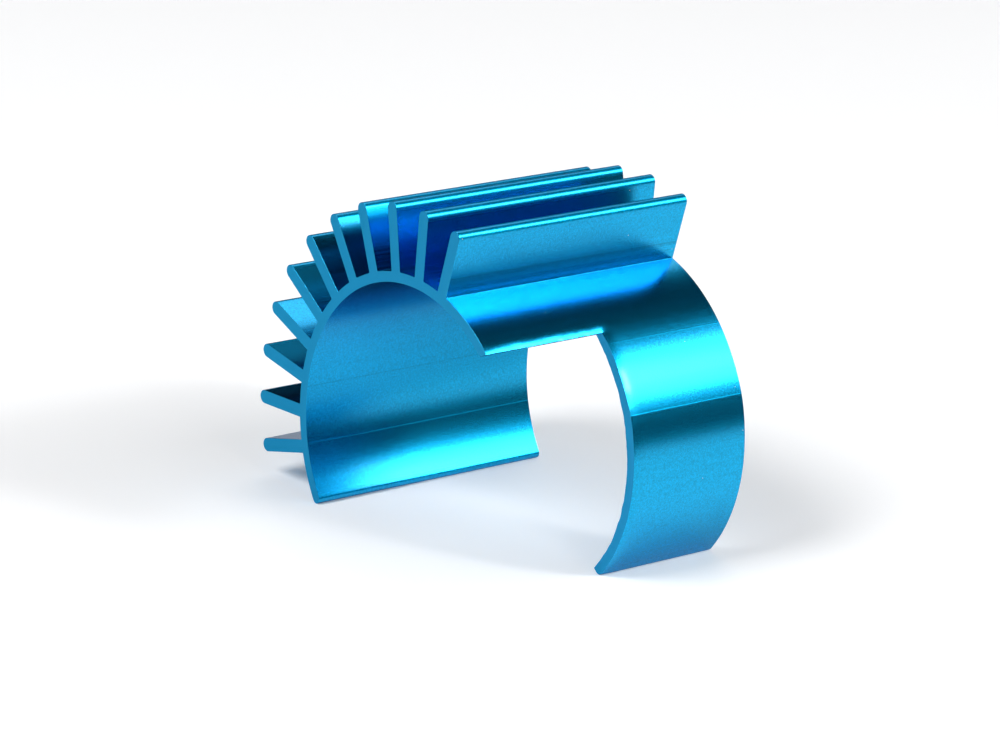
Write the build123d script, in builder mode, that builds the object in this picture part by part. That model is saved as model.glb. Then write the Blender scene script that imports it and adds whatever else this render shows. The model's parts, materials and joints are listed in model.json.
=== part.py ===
from build123d import *
import os
from math import asin, cos, degrees, radians, sin

# Clip-on heat sink for a round electric motor, one piece of extruded aluminium.
# The Y axis is the motor's axis and the direction of extrusion, and the origin is
# at mid length. The part stands on its two toes with +Z up, and the notched end,
# the front, faces -Y. Angles turn about Y from +X towards +Z.

# Driving dimensions, in millimetres and degrees
bore_radius = 18.0
wall = 1.15
length = 30.7

fin_count = 11
fin_pitch = 12.0
first_fin_angle = 78.0
fin_thickness = 1.5
fin_height = 7.45
fin_root_radius = 0.15

toe_angle = 36.0
arm_corner_radius = 0.65

notch_length = 15.4
notch_edge_angle = 51.0
notch_face_tilt = 31.0
notch_edge_radius = 0.3

# Sizes that follow from them
ring_radius = bore_radius + wall
wall_middle_radius = bore_radius + wall / 2
fin_tip_radius = ring_radius + fin_height
outside_reach = 2 * ring_radius
edge_tolerance = 0.001


def polar(radius, angle):
    """Point of the section at a radius and an angle in degrees."""
    return Vector(radius * cos(radians(angle)), radius * sin(radians(angle)))


# Both toes reach down to one level. The left toe is a full round on the wall, and
# the arm's toe is cut square through the wall with only its outer corner rounded.
toe_level = wall_middle_radius * sin(radians(toe_angle)) + wall / 2
left_toe_angle = 180 + toe_angle
arm_corner_reach = ring_radius - arm_corner_radius
arm_corner_angle = degrees(asin((toe_level - arm_corner_radius) / arm_corner_reach))
arm_end_angle = -arm_corner_angle - degrees(asin(arm_corner_radius / arm_corner_reach))
mouth_angle = (left_toe_angle + arm_end_angle + 360) / 2

# The notch's long face leans by notch_face_tilt and meets the ring's outer surface
# at notch_edge_angle.
notch_edge = polar(ring_radius, notch_edge_angle)
notch_face = Vector(cos(radians(notch_face_tilt)), sin(radians(notch_face_tilt)))
notch_inner = notch_edge - notch_face * bore_radius
notch_outer = notch_edge + notch_face * ring_radius
notch_plane_y = -length / 2 + notch_length

with BuildPart() as heat_sink:
    # Section of the extrusion: a round wall with radial fins, each with a round tip
    with BuildSketch(Plane.XZ) as section:
        Circle(ring_radius)
        with PolarLocations(
            fin_tip_radius / 2, fin_count, first_fin_angle, fin_pitch * fin_count
        ):
            SlotOverall(fin_tip_radius, fin_thickness)
        Circle(bore_radius, mode=Mode.SUBTRACT)

        # Mouth that lets the part snap over the motor
        with BuildLine():
            Polyline(
                (0, 0),
                polar(outside_reach, left_toe_angle),
                polar(outside_reach, mouth_angle),
                polar(outside_reach, arm_end_angle),
                close=True,
            )
        make_face(mode=Mode.SUBTRACT)

        # Toes
        with Locations(polar(wall_middle_radius, left_toe_angle)):
            Circle(wall / 2)
        arm_corner = section.vertices().sort_by_distance(polar(ring_radius, arm_end_angle))[0]
        fillet(arm_corner, radius=arm_corner_radius)

        # Small radius where each fin grows out of the wall
        half_fin = degrees(asin(fin_thickness / 2 / ring_radius))
        root_points = [
            polar(ring_radius, first_fin_angle + index * fin_pitch + side * half_fin)
            for index in range(fin_count)
            for side in (-1, 1)
        ]
        root_corners = [section.vertices().sort_by_distance(point)[0] for point in root_points]
        fillet(root_corners, radius=fin_root_radius)
    extrude(amount=length / 2, both=True)

    # Notch milled from the front end: the arm keeps only the rear of its length
    with BuildSketch(Plane.XZ.offset(length / 2)):
        with BuildLine():
            Polyline(
                notch_outer,
                notch_inner,
                (notch_inner.X, -outside_reach),
                (notch_outer.X, -outside_reach),
                close=True,
            )
        make_face()
    extrude(amount=-notch_length, mode=Mode.SUBTRACT)

    # The notch's outer edges, along its long face and down the arm, are softly rounded
    long_edge_middle = Vector(notch_edge.X, notch_plane_y - notch_length / 2, notch_edge.Y)
    long_edge = heat_sink.edges().filter_by(Axis.Y).sort_by_distance(long_edge_middle)[0]
    arm_face_arcs = (
        heat_sink.edges()
        .filter_by(GeomType.CIRCLE)
        .filter_by_position(Axis.Y, notch_plane_y - edge_tolerance, notch_plane_y + edge_tolerance)
    )
    arm_outer_arcs = [arc for arc in arm_face_arcs if abs(arc.radius - bore_radius) > wall / 2]
    fillet([long_edge, *arm_outer_arcs], radius=notch_edge_radius)

heat_sink.part.label = "heat_sink"
os.makedirs("parts", exist_ok=True)
export_step(heat_sink.part, "parts/heat_sink.step")
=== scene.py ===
# %% [markdown]
# # A clip-on motor heat sink
# The real object is one length of extruded aluminium, sawn off, notched at one side
# and dyed blue in an anodising bath. It snaps round the can of an electric motor, and
# its fins carry the heat away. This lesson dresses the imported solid: it loads it as a
# fixed frame, grows a finer piece over it from the same sizes, and gives that piece
# its finish, its floor and its light.

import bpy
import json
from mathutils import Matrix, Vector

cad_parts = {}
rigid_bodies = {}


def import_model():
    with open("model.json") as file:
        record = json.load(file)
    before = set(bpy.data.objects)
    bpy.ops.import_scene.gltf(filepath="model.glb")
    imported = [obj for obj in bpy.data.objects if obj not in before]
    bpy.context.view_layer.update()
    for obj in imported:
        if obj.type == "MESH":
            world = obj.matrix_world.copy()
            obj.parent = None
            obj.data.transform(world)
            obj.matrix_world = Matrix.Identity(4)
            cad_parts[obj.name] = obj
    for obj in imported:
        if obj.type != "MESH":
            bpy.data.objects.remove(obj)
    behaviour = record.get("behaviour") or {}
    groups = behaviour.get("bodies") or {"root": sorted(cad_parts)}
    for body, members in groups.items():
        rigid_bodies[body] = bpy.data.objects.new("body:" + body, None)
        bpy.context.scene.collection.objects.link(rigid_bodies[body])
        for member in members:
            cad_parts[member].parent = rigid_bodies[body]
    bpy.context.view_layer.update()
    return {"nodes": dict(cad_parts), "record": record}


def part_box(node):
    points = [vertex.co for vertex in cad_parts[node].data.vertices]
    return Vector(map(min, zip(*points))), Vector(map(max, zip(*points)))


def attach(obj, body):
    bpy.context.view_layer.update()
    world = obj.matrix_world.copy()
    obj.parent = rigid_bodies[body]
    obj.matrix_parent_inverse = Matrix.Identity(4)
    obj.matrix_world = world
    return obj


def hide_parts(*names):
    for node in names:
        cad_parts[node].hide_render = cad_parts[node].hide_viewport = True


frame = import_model()
print("pieces in the frame:", sorted(frame["nodes"]))

# %% [markdown]
# ## Sizes
# Whatever the solid can say is read from it: the bore from the mount that grips the
# motor, and the length, the wall and the reach of the fins from its box. Only the
# sizes that no box shows, such as the fins' pitch, are written here, as on a drawing.

# %% Read the sizes
from math import asin, cos, degrees, pi, radians, sin, tan

MM = 0.001

clamp = frame["record"]["mounts"][0]
low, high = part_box("heat_sink")

bore_radius = clamp["dims"]["r_mm"] * MM
length = high.y - low.y
ring_radius = high.x
fin_tip_radius = high.z
toe_level = -low.z

wall = ring_radius - bore_radius
wall_middle = bore_radius + wall / 2

fin_count = 11
fin_pitch = radians(12.0)
first_fin_angle = radians(78.0)
fin_thickness = 1.5 * MM
fin_root_radius = 0.06 * MM
arm_corner_radius = 0.65 * MM

print(f"wall {wall / MM:.2f} mm, length {length / MM:.1f} mm, fins to {fin_tip_radius / MM:.1f} mm")

# %% [markdown]
# The two toes reach down to one level. The left toe is a full round on the wall, and
# the arm's toe is cut square with one rounded corner, so their angles about the
# motor's axis follow from that level.

# %% Work out where the toes end
left_toe_angle = pi + asin((toe_level - wall / 2) / wall_middle)
corner_reach = ring_radius - arm_corner_radius
corner_angle = -asin((toe_level - arm_corner_radius) / corner_reach)
corner_half = asin(arm_corner_radius / corner_reach)
arm_toe_angle = corner_angle - corner_half

print(f"toes at {degrees(left_toe_angle):.1f} and {degrees(arm_toe_angle):.1f} degrees")

# %% [markdown]
# ## The camera
# The camera comes first, because every choice of detail depends on what it sees. A
# long lens from the right and a little above gives the calm, almost parallel lines
# of a catalogue picture. It could be placed by hand, but a camera is simpler to keep
# as what it looks at, the direction it looks from, a distance and a small roll.

# %% Make the camera
import bpy
from mathutils import Quaternion, Vector

camera_azimuth = radians(50.337)
camera_elevation = radians(20.068)
camera_roll = radians(4.864)
camera_distance = 447.76 * MM
camera_aim = Vector((-3.10, -0.79, 5.12)) * MM
sensor_width = 36.0
lens = 149.849


def aim_camera():
    """A camera on its axis, turned by its roll."""
    data = bpy.data.cameras.new("catalogue_camera")
    data.sensor_width = sensor_width
    data.lens = lens
    data.clip_start = camera_distance / 100
    data.clip_end = camera_distance * 100
    camera = bpy.data.objects.new("catalogue_camera", data)
    bpy.context.scene.collection.objects.link(camera)
    level = cos(camera_elevation)
    back = Vector((sin(camera_azimuth) * level, -cos(camera_azimuth) * level, sin(camera_elevation)))
    camera.location = camera_aim + back * camera_distance
    camera.rotation_mode = "QUATERNION"
    camera.rotation_quaternion = (-back).to_track_quat("-Z", "Y") @ Quaternion((0, 0, 1), camera_roll)
    bpy.context.scene.camera = camera
    return camera


camera = aim_camera()
print("camera at", [round(c / MM, 1) for c in camera.location], "mm")

# %% [markdown]
# ## Helpers for node trees
# Both the finishes and the shape are written as node trees. A tree is plain data:
# nodes, their settings and the links between them. One helper adds a node, sets it and
# fills its inputs with numbers or with what other nodes give. Others write arithmetic
# and ramps, which most rules of a shape or a finish come down to.

# %% Nodes, arithmetic and ramps
def add(tree, kind, inputs=None, **settings):
    """Adds a node, with its settings and what goes into it."""
    made = tree.nodes.new(kind)
    for name, value in settings.items():
        setattr(made, name, value)
    for key, value in (inputs or {}).items():
        if isinstance(value, bpy.types.NodeSocket):
            tree.links.new(value, made.inputs[key])
        else:
            made.inputs[key].default_value = value
    return made


def work_out(tree, operation, *values):
    """The output of one arithmetic node."""
    return add(tree, "ShaderNodeMath", dict(enumerate(values)), operation=operation).outputs[0]


def ramp(tree, value, low, high, start=0.0, end=1.0, kind="LINEAR"):
    """The start where the value is low, the end where it is high, and between them between."""
    limits = {"Value": value, "From Min": low, "From Max": high, "To Min": start, "To Max": end}
    return add(tree, "ShaderNodeMapRange", limits, interpolation_type=kind).outputs[0]


def noise(tree, place, scale, detail=2.0, roughness=0.5):
    """A cloudy pattern between nothing and one. It is the same on every run."""
    inputs = {"Vector": place, "Scale": scale, "Detail": detail, "Roughness": roughness}
    return add(tree, "ShaderNodeTexNoise", inputs).outputs["Fac"]


def polar(tree, across, up):
    """The angle and the radius of a place about the motor's axis."""
    angle = work_out(tree, "ARCTAN2", up, across)
    flat = add(tree, "ShaderNodeCombineXYZ", {"X": across, "Y": up}).outputs[0]
    radius = add(tree, "ShaderNodeVectorMath", {0: flat}, operation="LENGTH").outputs["Value"]
    return angle, radius


# %% [markdown]
# ## The two finishes
# Anodising grows a clear, porous film on the aluminium, which soaks up blue dye and is
# then sealed. Light crosses the dye twice and comes back from the metal under it. A
# painted blue under a clear coat would look like plastic, so the finish is a metal
# with a blue tint: its shine is blue, and where light bounces twice, as between two
# fins, the blue gets deeper by itself. Seen at a flat angle the shine stays darker
# than on bare metal, and the edge tint says how much.

# %% A dyed metal
def dyed_metal(name, dye, edge_tint, roughness):
    """A metal with the dye's tint, ready for its pattern."""
    material = bpy.data.materials.new(name)
    material.use_nodes = True
    shader = material.node_tree.nodes["Principled BSDF"]
    shader.inputs["Base Color"].default_value = dye
    shader.inputs["Metallic"].default_value = 1.0
    shader.inputs["Roughness"].default_value = roughness
    shader.inputs["Specular Tint"].default_value = edge_tint
    return material, material.node_tree, shader


skin_dye = (0.0, 0.37, 0.68, 1)
skin_edge_tint = (0.15, 0.22, 0.32, 1)
skin_roughness = 0.26
skin, skin_tree, skin_shader = dyed_metal("anodised_skin", skin_dye, skin_edge_tint, skin_roughness)
print("finish:", skin.name)

# %% [markdown]
# The sealed film has a face of its own, which mirrors a little white light above the
# dye. That is why a strong highlight looks paler than the blue round it. A coat on the
# shader does the same. At full weight it would look like varnish, and a real film is
# much thinner, so it has a third of that.

# %% The face of the film
film_shine = 0.33
film_roughness = 0.18
film_ior = 1.5

skin_shader.inputs["Coat Weight"].default_value = film_shine
skin_shader.inputs["Coat Roughness"].default_value = film_roughness
skin_shader.inputs["Coat IOR"].default_value = film_ior
print("film: weight", film_shine, "roughness", film_roughness)

# %% [markdown]
# Every pattern on the skin follows the section, so it is placed by its angle about the
# motor's axis and its distance from it, worked out from Object coordinates. A UV map
# could say the same, but the piece has none, and this needs none.

# %% Where a place lies on the section
skin_place = add(skin_tree, "ShaderNodeTexCoord").outputs["Object"]
skin_parts = add(skin_tree, "ShaderNodeSeparateXYZ", {0: skin_place}).outputs
skin_angle, skin_radius = polar(skin_tree, skin_parts["X"], skin_parts["Z"])
print("skin:", len(skin_tree.nodes), "nodes")

# %% [markdown]
# The die scratches every length that is pressed through it, so fine lines run along
# the whole piece. They could be modelled, but they are thinner than a hair, so they
# are a height for the bump and a shade for the dye: noise drawn out along the length.
# They are clearest at the roots of the fins, where the metal is forced through the
# narrowest slots, weaker on the shoulder before the first fin, and faint elsewhere.

# %% Fine lines from the die
line_scale = 2600.0
line_stretch = 300.0
line_detail = 4.0
line_depth = 0.006 * MM
line_shade = 3.6
line_patches = 190.0
patch_low, patch_high = 0.35, 0.65
root_lines_full = ring_radius + 1.6 * MM
root_lines_end = ring_radius + 3.6 * MM
shoulder_lines = radians(54.0)
shoulder_reach = radians(10.0)
shoulder_share = 0.4
lines_least = 0.07
off_the_ring = 0.1 * MM


def where_lines_show(tree, angle, radius):
    """How strong the fine lines are at a place: full at the fins' roots."""
    root = ramp(tree, radius, root_lines_end, root_lines_full)
    on_fin = work_out(tree, "GREATER_THAN", radius, ring_radius + off_the_ring)
    root = work_out(tree, "MULTIPLY", root, on_fin)
    from_shoulder = work_out(tree, "ABSOLUTE", work_out(tree, "SUBTRACT", angle, shoulder_lines))
    shoulder = ramp(tree, from_shoulder, shoulder_reach, 0.0, 0.0, shoulder_share)
    outside = work_out(tree, "GREATER_THAN", radius, wall_middle)
    shoulder = work_out(tree, "MULTIPLY", shoulder, outside)
    return work_out(tree, "MAXIMUM", work_out(tree, "MAXIMUM", root, shoulder), lines_least)


def fine_lines(tree, place, angle, radius):
    """The fine lines, above and below nothing."""
    stretch = {"Vector": place, "Scale": (1.0, 1 / line_stretch, 1.0)}
    drawn = add(tree, "ShaderNodeMapping", stretch).outputs[0]
    lines = work_out(tree, "SUBTRACT", noise(tree, drawn, line_scale, line_detail), 0.5)
    patches = ramp(tree, noise(tree, drawn, line_patches), patch_low, patch_high)
    lines = work_out(tree, "MULTIPLY", lines, patches)
    return work_out(tree, "MULTIPLY", lines, where_lines_show(tree, angle, radius))


lines = fine_lines(skin_tree, skin_place, skin_angle, skin_radius)
line_height = work_out(skin_tree, "MULTIPLY", lines, line_depth)
line_tone_and_painted_shade = work_out(skin_tree, "MULTIPLY", lines, line_shade)
print("skin with fine lines:", len(skin_tree.nodes), "nodes")

# %% [markdown]
# Four lines are deep enough to be seen one by one: two outside on the arm and two
# inside the bore. Each comes from one nick in the die, so each is a soft ridge or
# groove at its own angle, with the shape of a bell across it. The groove in the middle
# of the bore also gets a painted shade: its dye is made darker along it.

# %% Single lines from the die
crease_angle = radians(22.5)
die_line_angle = radians(46.9)
single_line_width = 0.07 * MM
single_lines = {
    "crease": {"angle": crease_angle + radians(0.3), "outside": True, "rise": 0.004 * MM, "painted_shade": 0.0},
    "arm": {"angle": die_line_angle, "outside": True, "rise": 0.0025 * MM, "painted_shade": 0.0},
    "bore_left": {"angle": radians(-163.0), "outside": False, "rise": 0.008 * MM, "painted_shade": 0.0},
    "bore_middle": {"angle": radians(176.4), "outside": False, "rise": -0.003 * MM, "painted_shade": -0.15},
}


def single_line(tree, angle, radius, at, outside):
    """One in the middle of a line along the length at one angle, falling softly to nothing."""
    off = work_out(tree, "MULTIPLY", work_out(tree, "SUBTRACT", angle, at), radius)
    off = work_out(tree, "DIVIDE", off, single_line_width)
    square = work_out(tree, "MULTIPLY", off, off)
    bell = work_out(tree, "EXPONENT", work_out(tree, "MULTIPLY", square, -1.0))
    side = work_out(tree, "GREATER_THAN" if outside else "LESS_THAN", radius, wall_middle)
    return work_out(tree, "MULTIPLY", bell, side)


for line in single_lines.values():
    bell = single_line(skin_tree, skin_angle, skin_radius, line["angle"], line["outside"])
    line_height = work_out(skin_tree, "MULTIPLY_ADD", bell, line["rise"], line_height)
    # A line with a tone gets a painted shade: its dye is darkened along the bell.
    if line["painted_shade"]:
        line_tone_and_painted_shade = work_out(skin_tree, "MULTIPLY_ADD", bell, line["painted_shade"], line_tone_and_painted_shade)
print("single lines:", len(single_lines))

# %% [markdown]
# Under the lines lies the satin grain of the etched metal, a fine noise with no
# direction. It joins the lines in the bump, and both shade the dye a little. The fins'
# tips and the toes are duller, because they rub against everything on the way.

# %% Grain, and duller tips
grain_scale = 5000.0
grain_depth = 0.0005 * MM
grain_shade = 0.18
grain_low, grain_high = 0.3, 0.7
tip_roughness = 0.38
tip_round = 1.0 * MM
toe_round = 1.2 * MM


def rubbed(tree, value, edge, reach):
    """The roughness near an edge: the skin's own, and duller from half the reach on."""
    return ramp(tree, value, edge + reach, edge + reach / 2, skin_roughness, tip_roughness)


grain = noise(skin_tree, skin_place, grain_scale)
height = work_out(skin_tree, "MULTIPLY_ADD", grain, grain_depth, line_height)
bump = add(skin_tree, "ShaderNodeBump", {"Height": height, "Distance": 1.0, "Strength": 1.0})
skin_tree.links.new(bump.outputs[0], skin_shader.inputs["Normal"])

tips = rubbed(skin_tree, skin_radius, fin_tip_radius, -tip_round)
toes = rubbed(skin_tree, skin_parts["Z"], low.z, toe_round)
skin_tree.links.new(work_out(skin_tree, "MAXIMUM", tips, toes), skin_shader.inputs["Roughness"])

shade = ramp(skin_tree, grain, grain_low, grain_high, 1 - grain_shade, 1 + grain_shade)
# The tone of the lines includes the painted shade along the bore's middle groove.
shade = work_out(skin_tree, "ADD", shade, line_tone_and_painted_shade)
tint = add(skin_tree, "ShaderNodeVectorMath", {0: skin_dye[:3], "Scale": shade}, operation="SCALE")
print("skin with grain:", len(skin_tree.nodes), "nodes")

# %% [markdown]
# A few specks of dust lie on the skin, as on anything that is photographed close up.
# They could be little meshes, but each is a tenth of a millimetre across, so they are
# the middles of a cell pattern: pale, and not metal.

# %% Dust
dust_scale = 340.0
dust_radius = 0.016
dust_colour = (0.75, 0.8, 0.8, 1)

cells = add(skin_tree, "ShaderNodeTexVoronoi", {"Vector": skin_place, "Scale": dust_scale})
speck = work_out(skin_tree, "LESS_THAN", cells.outputs["Distance"], dust_radius)
colours = {"Factor": speck, "A": tint.outputs[0], "B": dust_colour}
dusty = add(skin_tree, "ShaderNodeMix", colours, data_type="RGBA")
skin_tree.links.new(dusty.outputs["Result"], skin_shader.inputs["Base Color"])
skin_tree.links.new(work_out(skin_tree, "SUBTRACT", 1.0, speck), skin_shader.inputs["Metallic"])
print("skin finished:", len(skin_tree.nodes), "nodes")

# %% [markdown]
# The ends were sawn and the notch was milled before the dye bath, so they took the
# same dye on a duller surface. Their finish is the same dyed metal, rougher, with a
# coarser grain from the saw's teeth and no glossy film.

# %% The cut faces
cut_dye = (0.03, 0.325, 0.595, 1)
cut_edge_tint = (0.15, 0.3, 0.4, 1)
cut_roughness = 0.45
cut_grain_scale = 5000.0
cut_grain_detail = 3.0
cut_grain_depth = 0.0012 * MM


def cut_finish():
    """The sawn ends and the faces of the notch."""
    material, tree, shader = dyed_metal("cut_finish", cut_dye, cut_edge_tint, cut_roughness)
    place = add(tree, "ShaderNodeTexCoord").outputs["Object"]
    grain = noise(tree, place, cut_grain_scale, cut_grain_detail)
    height = work_out(tree, "MULTIPLY", grain, cut_grain_depth)
    bump = add(tree, "ShaderNodeBump", {"Height": height, "Distance": 1.0, "Strength": 1.0})
    tree.links.new(bump.outputs[0], shader.inputs["Normal"])
    return material


cut = cut_finish()
print("finish:", cut.name, "with", len(cut.node_tree.nodes), "nodes")

# %% [markdown]
# ## The rule of the shape
# An extrusion is one outline pulled through a die. It could be cut together from discs
# and boxes, but its shape follows a rule, so it is a Geometry Nodes tree: arcs, copied
# fins, a sweep, a bend and a cut. The tree has an input for each size that a buyer
# would ask for, and their values are filled in on the modifier, near the end.

# %% Start the tree, with its named inputs
drawing = {
    "Bore Radius": bore_radius,
    "Ring Radius": ring_radius,
    "Length": length,
    "Fin Count": fin_count,
    "Fin Pitch": fin_pitch,
    "First Fin": first_fin_angle,
    "Fin Thickness": fin_thickness,
    "Tip Radius": fin_tip_radius,
    "Root Radius": fin_root_radius,
}

rule = bpy.data.node_groups.new("heat_sink_rule", "GeometryNodeTree")
for name, value in drawing.items():
    kind = "NodeSocketInt" if isinstance(value, int) else "NodeSocketFloat"
    rule.interface.new_socket(name, in_out="INPUT", socket_type=kind)
rule.interface.new_socket("Heat Sink", in_out="OUTPUT", socket_type="NodeSocketGeometry")
size = add(rule, "NodeGroupInput").outputs
print("inputs of the rule:", ", ".join(drawing))

# %% [markdown]
# The outline is a chain of arcs, and each fin adds the same four. So each arc becomes
# a few points that carry their place in the chain, the fins' points are copied round
# by instances, and one node threads all the points into a closed line. The straight
# flanks need no points of their own, because the line runs on by itself.

# %% An arc as points with their place in the chain
most_points = 1000.0


def keep(tree, geometry, name, value, domain="POINT", kind="FLOAT"):
    """Stores a value on the geometry under a name."""
    inputs = {"Geometry": geometry, "Name": name, "Value": value}
    return add(tree, "GeometryNodeStoreNamedAttribute", inputs, data_type=kind, domain=domain).outputs[0]


def recall(tree, name):
    """The value that was stored under a name."""
    return add(tree, "GeometryNodeInputNamedAttribute", {"Name": name}, data_type="FLOAT").outputs[0]


def join(tree, parts):
    """Several geometries as one."""
    joined = add(tree, "GeometryNodeJoinGeometry")
    for part in parts:
        tree.links.new(part, joined.inputs[0])
    return joined.outputs[0]


def arc_points(tree, place, radius, start, sweep, steps, centre=None):
    """Points along an arc about a centre. Their place counts up from a whole number."""
    inputs = {"Resolution": steps + 1, "Radius": radius, "Start Angle": start, "Sweep Angle": sweep}
    arc = add(tree, "GeometryNodeCurveArc", inputs).outputs["Curve"]
    if centre is not None:
        arc = add(tree, "GeometryNodeTransform", {"Geometry": arc, "Translation": centre}).outputs[0]
    points = add(tree, "GeometryNodeCurveToPoints", {"Curve": arc}, mode="EVALUATED").outputs["Points"]
    count = add(tree, "GeometryNodeInputIndex").outputs[0]
    within = work_out(tree, "DIVIDE", count, most_points)
    return keep(tree, points, "place", work_out(tree, "ADD", within, float(place)))


# %% [markdown]
# A fin's root has a very small radius against the wall, its flanks are flat, and its
# tip is a full round. One fin stands on the X axis here: the radius at its root, the
# round of its tip, the radius at its other root, and the strip of wall up to the next
# fin, which are the four arcs.

# %% One fin and the strip of wall after it
root_steps = 5
tip_steps = 12
strip_steps = 5
arcs_in_fin = 4.0


def root_lean(tree, size):
    """Half a fin's angle on the wall, up to the end of its root radius, and where that is."""
    half = work_out(tree, "DIVIDE", size["Fin Thickness"], 2.0)
    side = work_out(tree, "ADD", half, size["Root Radius"])
    reach = work_out(tree, "ADD", size["Ring Radius"], size["Root Radius"])
    lean = work_out(tree, "ARCSINE", work_out(tree, "DIVIDE", side, reach))
    return lean, side, work_out(tree, "MULTIPLY", reach, work_out(tree, "COSINE", lean))


def fin_points(tree, size, lean, side, along):
    """The points of one fin, lying along the X axis."""
    half = work_out(tree, "DIVIDE", size["Fin Thickness"], 2.0)
    tip = work_out(tree, "SUBTRACT", size["Tip Radius"], half)
    near = add(tree, "ShaderNodeCombineXYZ", {"X": along, "Y": work_out(tree, "MULTIPLY", side, -1.0)})
    far = add(tree, "ShaderNodeCombineXYZ", {"X": along, "Y": side})
    end = add(tree, "ShaderNodeCombineXYZ", {"X": tip})
    turn = work_out(tree, "SUBTRACT", lean, pi / 2)
    strip = work_out(tree, "SUBTRACT", size["Fin Pitch"], work_out(tree, "MULTIPLY", lean, 2.0))
    root_start = work_out(tree, "SUBTRACT", pi, lean)
    points = [
        arc_points(tree, 0, size["Root Radius"], root_start, turn, root_steps, near.outputs[0]),
        arc_points(tree, 1, half, -pi / 2, pi, tip_steps, end.outputs[0]),
        arc_points(tree, 2, size["Root Radius"], 3 * pi / 2, turn, root_steps, far.outputs[0]),
        arc_points(tree, 3, size["Ring Radius"], lean, strip, strip_steps),
    ]
    return join(tree, points)


lean, side, along = root_lean(rule, size)
fin = fin_points(rule, size, lean, side, along)
print("one fin:", len(rule.nodes), "nodes so far")

# %% [markdown]
# The eleven fins are alike and stand at one pitch, so they are instances, one for each
# turn of the pitch. Each copy's number moves its points on in the chain, by four
# places for its four arcs.

# %% All fins, as instances round the axis
fins_place = 20.0


def all_fins(tree, size, fin):
    """The points of every fin, turned round the axis."""
    line = add(tree, "GeometryNodeMeshLine", {"Count": size["Fin Count"], "Offset": (0, 0, 0)})
    number = add(tree, "GeometryNodeInputIndex").outputs[0]
    seats = keep(tree, line.outputs[0], "fin", number)
    angle = work_out(tree, "MULTIPLY_ADD", number, size["Fin Pitch"], size["First Fin"])
    rotation = add(tree, "ShaderNodeCombineXYZ", {"Z": angle}).outputs[0]
    inputs = {"Points": seats, "Instance": fin, "Rotation": rotation}
    copies = add(tree, "GeometryNodeInstanceOnPoints", inputs).outputs[0]
    real = add(tree, "GeometryNodeRealizeInstances", {"Geometry": copies}).outputs[0]
    shift = work_out(tree, "MULTIPLY_ADD", recall(tree, "fin"), arcs_in_fin, fins_place)
    return keep(tree, real, "place", work_out(tree, "ADD", recall(tree, "place"), shift))


fins = all_fins(rule, size, fin)
print("fins:", fin_count, "copies,", len(rule.nodes), "nodes so far")

# %% [markdown]
# The notch takes the front half of the arm, so that the clip can spring open. Its cut
# was made from outside: its long face leans, the cutter rolled the lip over on the
# outside, and a little burr was left hanging from the inside edge. The outline has
# to know these sizes already, because the bend needs closer points beside the edge.

# %% Sizes of the notch, its lip and its burr
notch_plane = 0.05 * MM
notch_angle = radians(51.0)
notch_tilt = radians(31.0)
lip_run_up = 1.55 * MM
lip_run_back = 1.8 * MM
lip_drop = 0.2 * MM
lip_unevenness = 0.6
lip_side_share = 0.45
lip_turn = radians(4.0)
burr_run = 0.22 * MM
burr_height = 0.16 * MM

lip_finest = radians(0.25)
lip_low = notch_angle - 3.5 * lip_finest
lip_high = notch_angle + 18.5 * lip_finest
notch_edge = Vector((ring_radius * cos(notch_angle), ring_radius * sin(notch_angle), 0))
notch_way = Vector((cos(notch_tilt), sin(notch_tilt), 0))
print(f"closer points from {degrees(lip_low):.1f} to {degrees(lip_high):.1f} degrees")

# %% [markdown]
# The arm runs from its toe up to the first fin. Its arc is broken at the two lines
# that the die left on it, so that a row of points lies exactly on each.

# %% The arm
arm_breaks = [corner_angle, crease_angle, die_line_angle, lip_low, lip_high]
arm_steps = [48, 20, 3, round((lip_high - lip_low) / lip_finest)]
corner_steps = 8
shoulder_steps = 16
shoulder_place = 10


def arm_points(tree, size, lean):
    """The toe's round corner and the outside of the arm, up to the first fin."""
    centre = (corner_reach * cos(corner_angle), corner_reach * sin(corner_angle), 0)
    start, sweep = arm_toe_angle - pi / 2, pi / 2 + corner_half
    parts = [arc_points(tree, 0, arm_corner_radius, start, sweep, corner_steps, centre)]
    for number, steps in enumerate(arm_steps):
        start, end = arm_breaks[number], arm_breaks[number + 1]
        parts.append(arc_points(tree, 1 + number, size["Ring Radius"], start, end - start, steps))
    to_fins = work_out(tree, "SUBTRACT", work_out(tree, "SUBTRACT", size["First Fin"], lean), lip_high)
    parts.append(arc_points(tree, shoulder_place, size["Ring Radius"], lip_high, to_fins, shoulder_steps))
    return parts


arm = arm_points(rule, size, lean)
print("arm:", len(arm), "arcs")

# %% [markdown]
# After the last fin come the left toe, which is a full round as thick as the wall, and
# the long arc of the bore, which leads back to the arm's toe and closes the chain.

# %% The left toe and the bore
toe_place = 100
heel_steps = 6
toe_steps = 12
bore_steps = 170


def toe_and_bore_points(tree, size, lean):
    """The wall after the last fin, the round of the toe, and the bore."""
    fins_end = work_out(tree, "MULTIPLY_ADD", size["Fin Pitch"], size["Fin Count"], size["First Fin"])
    fins_end = work_out(tree, "SUBTRACT", fins_end, lean)
    to_toe = work_out(tree, "SUBTRACT", left_toe_angle, fins_end)
    toe_centre = (wall_middle * cos(left_toe_angle), wall_middle * sin(left_toe_angle), 0)
    back = arm_toe_angle - left_toe_angle
    return [
        arc_points(tree, toe_place, size["Ring Radius"], fins_end, to_toe, heel_steps),
        arc_points(tree, toe_place + 1, wall / 2, left_toe_angle, pi, toe_steps, toe_centre),
        arc_points(tree, toe_place + 2, size["Bore Radius"], left_toe_angle, back, bore_steps),
    ]


toe_and_bore = toe_and_bore_points(rule, size, lean)
print("toe and bore:", len(toe_and_bore), "arcs")

# %% [markdown]
# Now the points are threaded into one line by their place in the chain. Where two arcs
# meet, each has a point, so points that lie together become one first.

# %% Thread the outline
same_place = MM / 1000


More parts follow.
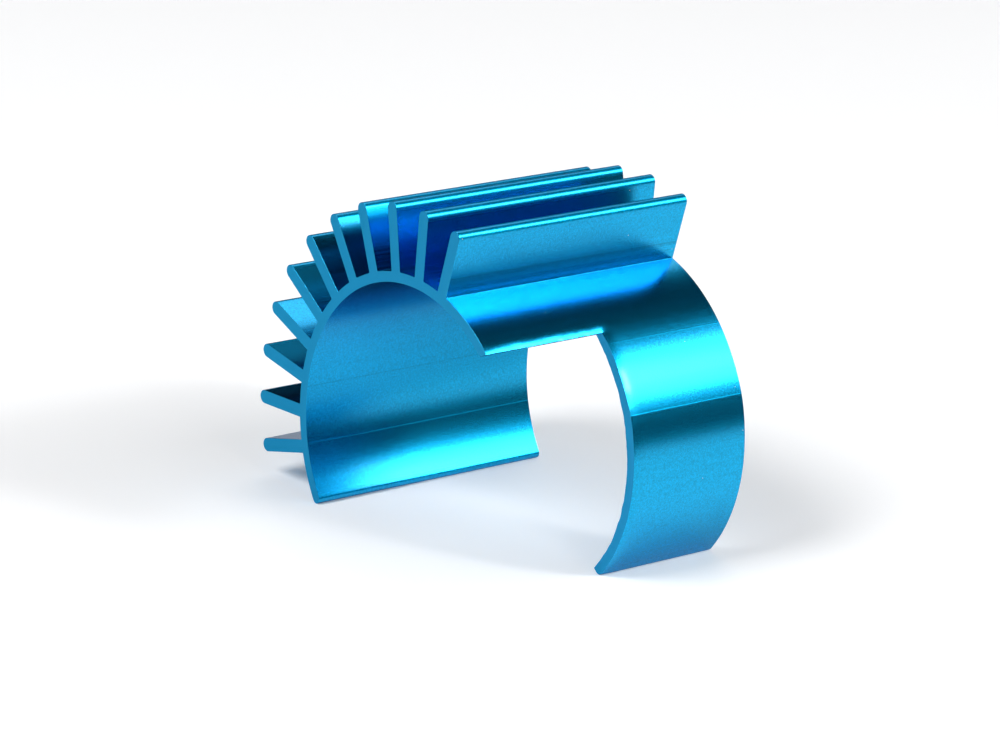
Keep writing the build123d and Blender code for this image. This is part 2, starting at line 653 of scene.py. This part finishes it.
def thread(tree, points, order):
    """One line through the points in the given order. Points that lie together become one."""
    inputs = {"Geometry": points, "Distance": same_place}
    points = add(tree, "GeometryNodeMergeByDistance", inputs).outputs[0]
    return add(tree, "GeometryNodePointsToCurves", {"Points": points, "Weight": order}).outputs[0]


chain = thread(rule, join(rule, arm + [fins] + toe_and_bore), recall(rule, "place"))
outline = add(rule, "GeometryNodeSetSplineCyclic", {"Geometry": chain, "Cyclic": True}).outputs[0]
print("outline:", len(rule.nodes), "nodes so far")

# %% [markdown]
# ## The extrusion
# Sweeping the outline along a line gives the whole length at once, with its ends
# capped. The line has more stations beside the notch, where the lip and the burr need
# them. The outline lies in XY and is pulled along Z, so the front end is at +Z until
# the piece is turned over onto the motor's axis at the end.

# %% Sweep the outline and cap it
past_lip = 1.1 * lip_run_back
before_lip = 0.1 * lip_run_back
rear_spans, lip_spans, front_spans = 6, 24, 60


def stations(tree, size):
    """The line of the extrusion, with closer stations beside the notch."""
    half = work_out(tree, "DIVIDE", size["Length"], 2.0)
    rear = work_out(tree, "MULTIPLY", half, -1.0)
    lip_back, lip_front = -notch_plane - past_lip, -notch_plane + before_lip
    spans = [(rear, lip_back, rear_spans), (lip_back, lip_front, lip_spans), (lip_front, half, front_spans)]
    lines = []
    for start, end, count in spans:
        start, end = [add(tree, "ShaderNodeCombineXYZ", {"Z": z}).outputs[0] for z in (start, end)]
        inputs = {"Count": count + 1, "Start Location": start, "Offset": end}
        lines.append(add(tree, "GeometryNodeMeshLine", inputs, mode="END_POINTS").outputs[0])
    points = add(tree, "GeometryNodeMeshToPoints", {"Mesh": join(tree, lines)}).outputs[0]
    place = add(tree, "GeometryNodeInputPosition").outputs[0]
    return thread(tree, points, add(tree, "ShaderNodeSeparateXYZ", {0: place}).outputs["Z"])


sweep = {"Curve": stations(rule, size), "Profile Curve": outline, "Fill Caps": True}
body = add(rule, "GeometryNodeCurveToMesh", sweep).outputs[0]
print("stations:", rear_spans + lip_spans + front_spans + 1)

# %% [markdown]
# ## The bend of the wall
# Three things bend the wall off its round: a soft ridge from the die along the arm,
# the rolled lip and the burr. They could be sculpted, but each follows from where a
# point lies, so each is worked out as a move outward or inward at that point. The wall
# is bent first and cut afterwards, which leaves the notch's edge itself sharp.

# %% Where a point lies on the wall
wall_place = add(rule, "GeometryNodeInputPosition").outputs[0]
wall_parts = add(rule, "ShaderNodeSeparateXYZ", {0: wall_place}).outputs
turned, wall_radius = polar(rule, wall_parts["X"], wall_parts["Y"])
below_toe = work_out(rule, "LESS_THAN", turned, -pi / 2)
wall_angle = work_out(rule, "MULTIPLY_ADD", below_toe, 2 * pi, turned)
outer_side = ramp(rule, wall_radius, wall_middle - 0.2 * wall, wall_middle + 0.3 * wall)
inner_side = work_out(rule, "LESS_THAN", wall_radius, bore_radius + 0.1 * wall)
flat = add(rule, "ShaderNodeCombineXYZ", {"X": wall_parts["X"], "Y": wall_parts["Y"]}).outputs[0]
outward = add(rule, "ShaderNodeVectorMath", {0: flat}, operation="NORMALIZE").outputs[0]
print("bend: angles run from the arm's toe round to the left toe")

# %% [markdown]
# The ridge is the line on the arm where its shine changes at once. It is under a tenth
# of a millimetre high, and only its slopes show.

# %% The ridge from the die
ridge_height = 0.09 * MM
ridge_above = radians(12.0)
ridge_below = radians(16.0)

above = ramp(rule, wall_angle, crease_angle + ridge_above, crease_angle)
below = ramp(rule, wall_angle, crease_angle - ridge_below, crease_angle)
ridge = work_out(rule, "MULTIPLY", work_out(rule, "MULTIPLY", above, below), ridge_height)
ridge = work_out(rule, "MULTIPLY", ridge, outer_side)
print(f"ridge: {ridge_height / MM} mm high")

# %% [markdown]
# The cutter dragged the outside of the wall down before it went through, so the lip is
# rolled over, most at the edge and unevenly along it. The move grows with the cube of
# the nearness to the edge, which gives a round roll, and a slow noise varies it. Round
# the notch's corner, down the arm, the roll gets weaker.

# %% The rolled lip
lip_wave_scale = 420.0
lip_wave_low, lip_wave_high = 0.3, 0.7
roundness = 3.0


def near_notch(tree, angle, height, run_up, run_back):
    """One at the notch's edge, falling smoothly to nothing at the end of the two runs."""
    up = work_out(tree, "MULTIPLY", work_out(tree, "SUBTRACT", angle, notch_angle), ring_radius / run_up)
    back = work_out(tree, "MULTIPLY", work_out(tree, "ADD", height, notch_plane), -1.0 / run_back)
    up = work_out(tree, "MAXIMUM", up, 0.0)
    back = work_out(tree, "MAXIMUM", back, 0.0)
    squares = work_out(tree, "MULTIPLY_ADD", up, up, work_out(tree, "MULTIPLY", back, back))
    share = work_out(tree, "SUBTRACT", 1.0, work_out(tree, "SQRT", squares))
    return work_out(tree, "POWER", work_out(tree, "MAXIMUM", share, 0.0), roundness)


least_drop = -lip_drop * (1 - lip_unevenness / 2)
most_drop = -lip_drop * (1 + lip_unevenness / 2)
wave = noise(rule, wall_place, lip_wave_scale)
drop = ramp(rule, wave, lip_wave_low, lip_wave_high, least_drop, most_drop)
lip = near_notch(rule, wall_angle, wall_parts["Z"], lip_run_up, lip_run_back)
lip = work_out(rule, "MULTIPLY", work_out(rule, "MULTIPLY", lip, drop), outer_side)
at_edge = ramp(rule, wall_angle, notch_angle - lip_turn, notch_angle, lip_side_share, 1.0, "SMOOTHSTEP")
lip = work_out(rule, "MULTIPLY", lip, at_edge)
print(f"lip: rolled over by up to {-most_drop / MM:.2f} mm")

# %% [markdown]
# The burr is what the cutter pushed out at the inside. It is ragged, so a fine noise
# decides where it hangs and how far.

# %% The burr
burr_scale = 900.0
burr_detail = 3.0
burr_roughness = 0.6
burr_low, burr_high = 0.35, 0.75

ragged = ramp(rule, noise(rule, wall_place, burr_scale, burr_detail, burr_roughness), burr_low, burr_high)
burr = near_notch(rule, wall_angle, wall_parts["Z"], burr_run, burr_run)
burr = work_out(rule, "MULTIPLY", work_out(rule, "MULTIPLY", burr, -burr_height), ragged)
burr = work_out(rule, "MULTIPLY", burr, inner_side)

move = work_out(rule, "ADD", work_out(rule, "ADD", lip, ridge), burr)
offset = add(rule, "ShaderNodeVectorMath", {0: outward, "Scale": move}, operation="SCALE").outputs[0]
body = add(rule, "GeometryNodeSetPosition", {"Geometry": body, "Offset": offset}).outputs[0]
body = add(rule, "GeometryNodeSetMaterial", {"Geometry": body, "Material": skin}).outputs[0]
print("bent wall:", len(rule.nodes), "nodes so far")

# %% [markdown]
# ## The notch
# The cutter's path is a four-sided body: the leaning long face and three sides in free
# air. It is swept like the ring and taken away from it. The body carries the cut
# finish, and the exact solver leaves that finish on the faces that it makes.

# %% Cut the notch
def cutter_path(tree, size):
    """All the space that the cutter passes through."""
    inner = notch_edge - notch_way * bore_radius
    outer = notch_edge + notch_way * ring_radius
    below = -2 * ring_radius
    corners = [inner, Vector((inner.x, below, 0)), Vector((outer.x, below, 0)), outer]
    corners = {f"Point {number}": corner for number, corner in enumerate(corners, 1)}
    profile = add(tree, "GeometryNodeCurvePrimitiveQuadrilateral", corners, mode="POINTS").outputs[0]
    front = add(tree, "ShaderNodeCombineXYZ", {"Z": size["Length"]}).outputs[0]
    ends = {"Start": (0, 0, -notch_plane), "End": front}
    way = add(tree, "GeometryNodeCurvePrimitiveLine", ends).outputs[0]
    sweep = {"Curve": way, "Profile Curve": profile, "Fill Caps": True}
    path = add(tree, "GeometryNodeCurveToMesh", sweep).outputs[0]
    return add(tree, "GeometryNodeSetMaterial", {"Geometry": path, "Material": cut}).outputs[0]


notched = add(rule, "GeometryNodeMeshBoolean", {"Mesh 1": body}, operation="DIFFERENCE", solver="EXACT")
rule.links.new(cutter_path(rule, size), notched.inputs["Mesh 2"])
body = notched.outputs["Mesh"]
print("notched body:", len(rule.nodes), "nodes so far")

# %% [markdown]
# ## Edges
# The sawn ends have a fine broken edge that catches the light, so each edge round the
# ends gets a weight for the bevel that comes after the tree. Every edge that bends by
# more than a small angle stays sharp, and so does the die's ridge, or smooth shading
# would blur them.

# %% Mark the edges
sharp_bend = radians(28.0)
crease_slack = radians(0.1)
nearly_half = 0.4999


def mark_edges(tree, body, size):
    """Smooth shading with its sharp edges, and the edges that get broken."""
    place = add(tree, "GeometryNodeInputPosition").outputs[0]
    parts = add(tree, "ShaderNodeSeparateXYZ", {0: place}).outputs
    bend = add(tree, "GeometryNodeInputMeshEdgeAngle").outputs["Unsigned Angle"]
    sharp = work_out(tree, "GREATER_THAN", bend, sharp_bend)
    angle = work_out(tree, "ARCTAN2", parts["Y"], parts["X"])
    off_crease = work_out(tree, "ABSOLUTE", work_out(tree, "SUBTRACT", angle, crease_angle))
    crease = work_out(tree, "LESS_THAN", off_crease, crease_slack)
    end = work_out(tree, "MULTIPLY", size["Length"], nearly_half)
    at_end = work_out(tree, "GREATER_THAN", work_out(tree, "ABSOLUTE", parts["Z"]), end)
    body = keep(tree, body, "sharp_edge", work_out(tree, "MAXIMUM", sharp, crease), "EDGE", "BOOLEAN")
    body = keep(tree, body, "bevel_weight_edge", work_out(tree, "MULTIPLY", sharp, at_end), "EDGE")
    return add(tree, "GeometryNodeSetShadeSmooth", {"Geometry": body, "Shade Smooth": True}).outputs[0]


body = mark_edges(rule, body, size)
print("marked edges:", len(rule.nodes), "nodes so far")

# %% [markdown]
# Last, the tree turns the piece over onto the motor's axis and gives the sawn ends the
# cut finish. The ends are found by their faces, which look straight along the axis.

# %% Turn the piece over and finish its ends
sawn_facing = 0.95

upright = {"Geometry": body, "Rotation": (pi / 2, 0, 0)}
body = add(rule, "GeometryNodeTransform", upright).outputs[0]
body = add(rule, "GeometryNodeRealizeInstances", {"Geometry": body}).outputs[0]
facing = add(rule, "GeometryNodeInputNormal").outputs[0]
along_axis = work_out(rule, "ABSOLUTE", add(rule, "ShaderNodeSeparateXYZ", {0: facing}).outputs["Y"])
sawn = work_out(rule, "GREATER_THAN", along_axis, sawn_facing)
finish = {"Geometry": body, "Selection": sawn, "Material": cut}
body = add(rule, "GeometryNodeSetMaterial", finish).outputs[0]
add(rule, "NodeGroupOutput", {0: body})
print("finished rule:", len(rule.nodes), "nodes")

# %% [markdown]
# ## The piece
# The rule runs as a modifier. Its inputs are set by each socket's identifier, because
# a modifier doesn't know them by name. A bevel breaks the marked edges, weighted
# normals keep the flat faces evenly lit beside it, and the result is taken off as a
# plain mesh, which is what the frame needs.

# %% Make the piece
edge_break = 0.02 * MM
edge_segments = 2


def make_heat_sink():
    """The finished piece as a plain mesh."""
    piece = bpy.data.objects.new("finned_cooler", bpy.data.meshes.new("finned_cooler"))
    bpy.context.scene.collection.objects.link(piece)
    shape = piece.modifiers.new("rule", "NODES")
    shape.node_group = rule
    for socket in rule.interface.items_tree:
        if socket.in_out == "INPUT":
            shape[socket.identifier] = drawing[socket.name]
    bevel = piece.modifiers.new("broken_edges", "BEVEL")
    bevel.limit_method = "WEIGHT"
    bevel.width = edge_break
    bevel.segments = edge_segments
    bevel.use_clamp_overlap = False
    even = piece.modifiers.new("even_shine", "WEIGHTED_NORMAL")
    even.keep_sharp = True
    graph = bpy.context.evaluated_depsgraph_get()
    mesh = bpy.data.meshes.new_from_object(piece.evaluated_get(graph), depsgraph=graph)
    piece.modifiers.clear()
    piece.data = mesh
    mesh.name = "finned_cooler"
    return piece


heat_sink = make_heat_sink()
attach(heat_sink, "root")
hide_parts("heat_sink")
print("heat sink:", len(heat_sink.data.polygons), "faces")

# %% [markdown]
# ## The floor
# The heat sink stands on its two toes on a round sheet of white paper. The sheet ends
# about a hand's length away, and this matters: where the metal looks down it mirrors
# the paper, and where it looks level it mirrors the dark room behind the paper's edge.
# The lamps are set by the metal, and they leave the paper a pale grey. Brighter lamps
# would burn out the metal, so the paper glows a little instead. It does so for all that
# shows it, the camera, shiny metal and glass, but it lights nothing, so the object's
# shadow stays.

# %% Lay the paper
import bmesh

floor_radius = 0.26
floor_steps = 96
floor_colour = (0.9, 0.9, 0.9, 1)
floor_roughness = 0.6
floor_glow = 0.17


def make_floor():
    """A round sheet of white paper at the level of the toes."""
    mesh = bpy.data.meshes.new("floor")
    sheet = bmesh.new()
    bmesh.ops.create_circle(sheet, cap_ends=True, segments=floor_steps, radius=floor_radius)
    bmesh.ops.translate(sheet, verts=sheet.verts, vec=(0, 0, low.z))
    sheet.to_mesh(mesh)
    sheet.free()
    floor = bpy.data.objects.new("floor", mesh)
    bpy.context.scene.collection.objects.link(floor)
    material = bpy.data.materials.new("floor")
    material.use_nodes = True
    mesh.materials.append(material)
    return material.node_tree


def whiten(tree):
    """White paper that glows a little for the camera, and in metal and glass."""
    shader = tree.nodes["Principled BSDF"]
    shader.inputs["Base Color"].default_value = floor_colour
    shader.inputs["Roughness"].default_value = floor_roughness
    shader.inputs["Specular IOR Level"].default_value = 0.0
    rays = add(tree, "ShaderNodeLightPath").outputs
    seen = work_out(tree, "MAXIMUM", rays["Is Camera Ray"], rays["Is Transmission Ray"])
    seen = work_out(tree, "MAXIMUM", seen, rays["Is Glossy Ray"])
    strength = work_out(tree, "MULTIPLY", seen, floor_glow)
    glow = add(tree, "ShaderNodeEmission", {"Color": (1, 1, 1, 1), "Strength": strength})
    both = add(tree, "ShaderNodeAddShader", {0: shader.outputs[0], 1: glow.outputs[0]})
    tree.links.new(both.outputs[0], tree.nodes["Material Output"].inputs["Surface"])


whiten(make_floor())
print(f"paper: {2 * floor_radius:.2f} m across, at {low.z / MM:.1f} mm")

# %% [markdown]
# ## The room
# Shiny metal shows what stands round it more than its own colour. In a dark room
# between soft boxes its bands are deep and clear, as in the picture, and in an evenly
# white room it would look like blue plastic. So the world is dark and a little blue.
# Only the table under the paper is white. It starts so far below the horizon that the
# metal can't see it past the paper, and it fills the picture above the paper when
# another view looks from lower down. The room is the same for the camera and the metal.

# %% Darken the room, round a white table
room_level = 0.02
room_colour = (0.3, 0.5, 1.0, 1)
table_level = 0.97
table_starts = radians(-7.5)
table_full = radians(-9.0)


def make_room():
    """A dark room, and well below its horizon the white table that the paper lies on."""
    world = bpy.data.worlds.new("room")
    bpy.context.scene.world = world
    world.use_nodes = True
    tree = world.node_tree
    dark = tree.nodes["Background"]
    dark.inputs["Color"].default_value = room_colour
    dark.inputs["Strength"].default_value = room_level
    white = add(tree, "ShaderNodeBackground", {"Color": (1, 1, 1, 1), "Strength": table_level})
    way = add(tree, "ShaderNodeTexCoord").outputs["Object"]
    rise = add(tree, "ShaderNodeSeparateXYZ", {0: way}).outputs["Z"]
    table = ramp(tree, rise, sin(table_starts), sin(table_full))
    room = add(tree, "ShaderNodeMixShader", {0: table, 1: dark.outputs[0], 2: white.outputs[0]})
    tree.links.new(room.outputs[0], tree.nodes["World Output"].inputs["Surface"])


make_room()
print(f"room: level {room_level}, table from {degrees(table_starts):.1f} degrees down")

# %% [markdown]
# ## The lamps
# Every bright band on the metal is a soft box that it mirrors, so each box is placed
# by the band that it makes. Those on the right make the bright stretch of the arm and
# the bands on the fins, the rear one lights the gaps between the fins, and the front
# one lights the foot of the bore. Each is given as seen from the heat sink: its turn
# about it and its height, its width and how tall it is, all in degrees, and its level.

# %% Hang the soft boxes
lamp_distance = 0.8
soft_boxes = {
    "right_wide": (46, 34, 42, 20, 3.6),
    "right_key": (40, 36, 18, 9, 4.5),
    "right_core": (35, 36, 7, 9, 36.0),
    "right_low": (50, 28, 20, 10, 1.7),
    "right_high": (5, 52, 24, 24, 2.2),
    "rear_left": (138, 50, 28, 28, 2.0),
    "front": (262, 49, 26, 22, 12.5),
}


def hang_soft_box(name, turn, height, width, tall, level):
    """A soft box that faces the heat sink."""
    data = bpy.data.lights.new(name, "AREA")
    data.shape = "RECTANGLE"
    data.size = 2 * lamp_distance * tan(radians(width / 2))
    data.size_y = 2 * lamp_distance * tan(radians(tall / 2))
    data.energy = level * pi * data.size * data.size_y
    light = bpy.data.objects.new(name, data)
    bpy.context.scene.collection.objects.link(light)
    flat = cos(radians(height))
    way = Vector((cos(radians(turn)) * flat, sin(radians(turn)) * flat, sin(radians(height))))
    light.location = way * lamp_distance
    light.rotation_mode = "QUATERNION"
    light.rotation_quaternion = way.to_track_quat("Z", "Y")


for name, box in soft_boxes.items():
    hang_soft_box(name, *box)
bpy.context.scene.view_settings.view_transform = "Standard"
print("soft boxes:", ", ".join(soft_boxes))

# %% [markdown]
# ## Finish
# The dressed piece has to stay inside the solid's box, or it would no longer fit where
# the solid does.

# %% Finish
import json
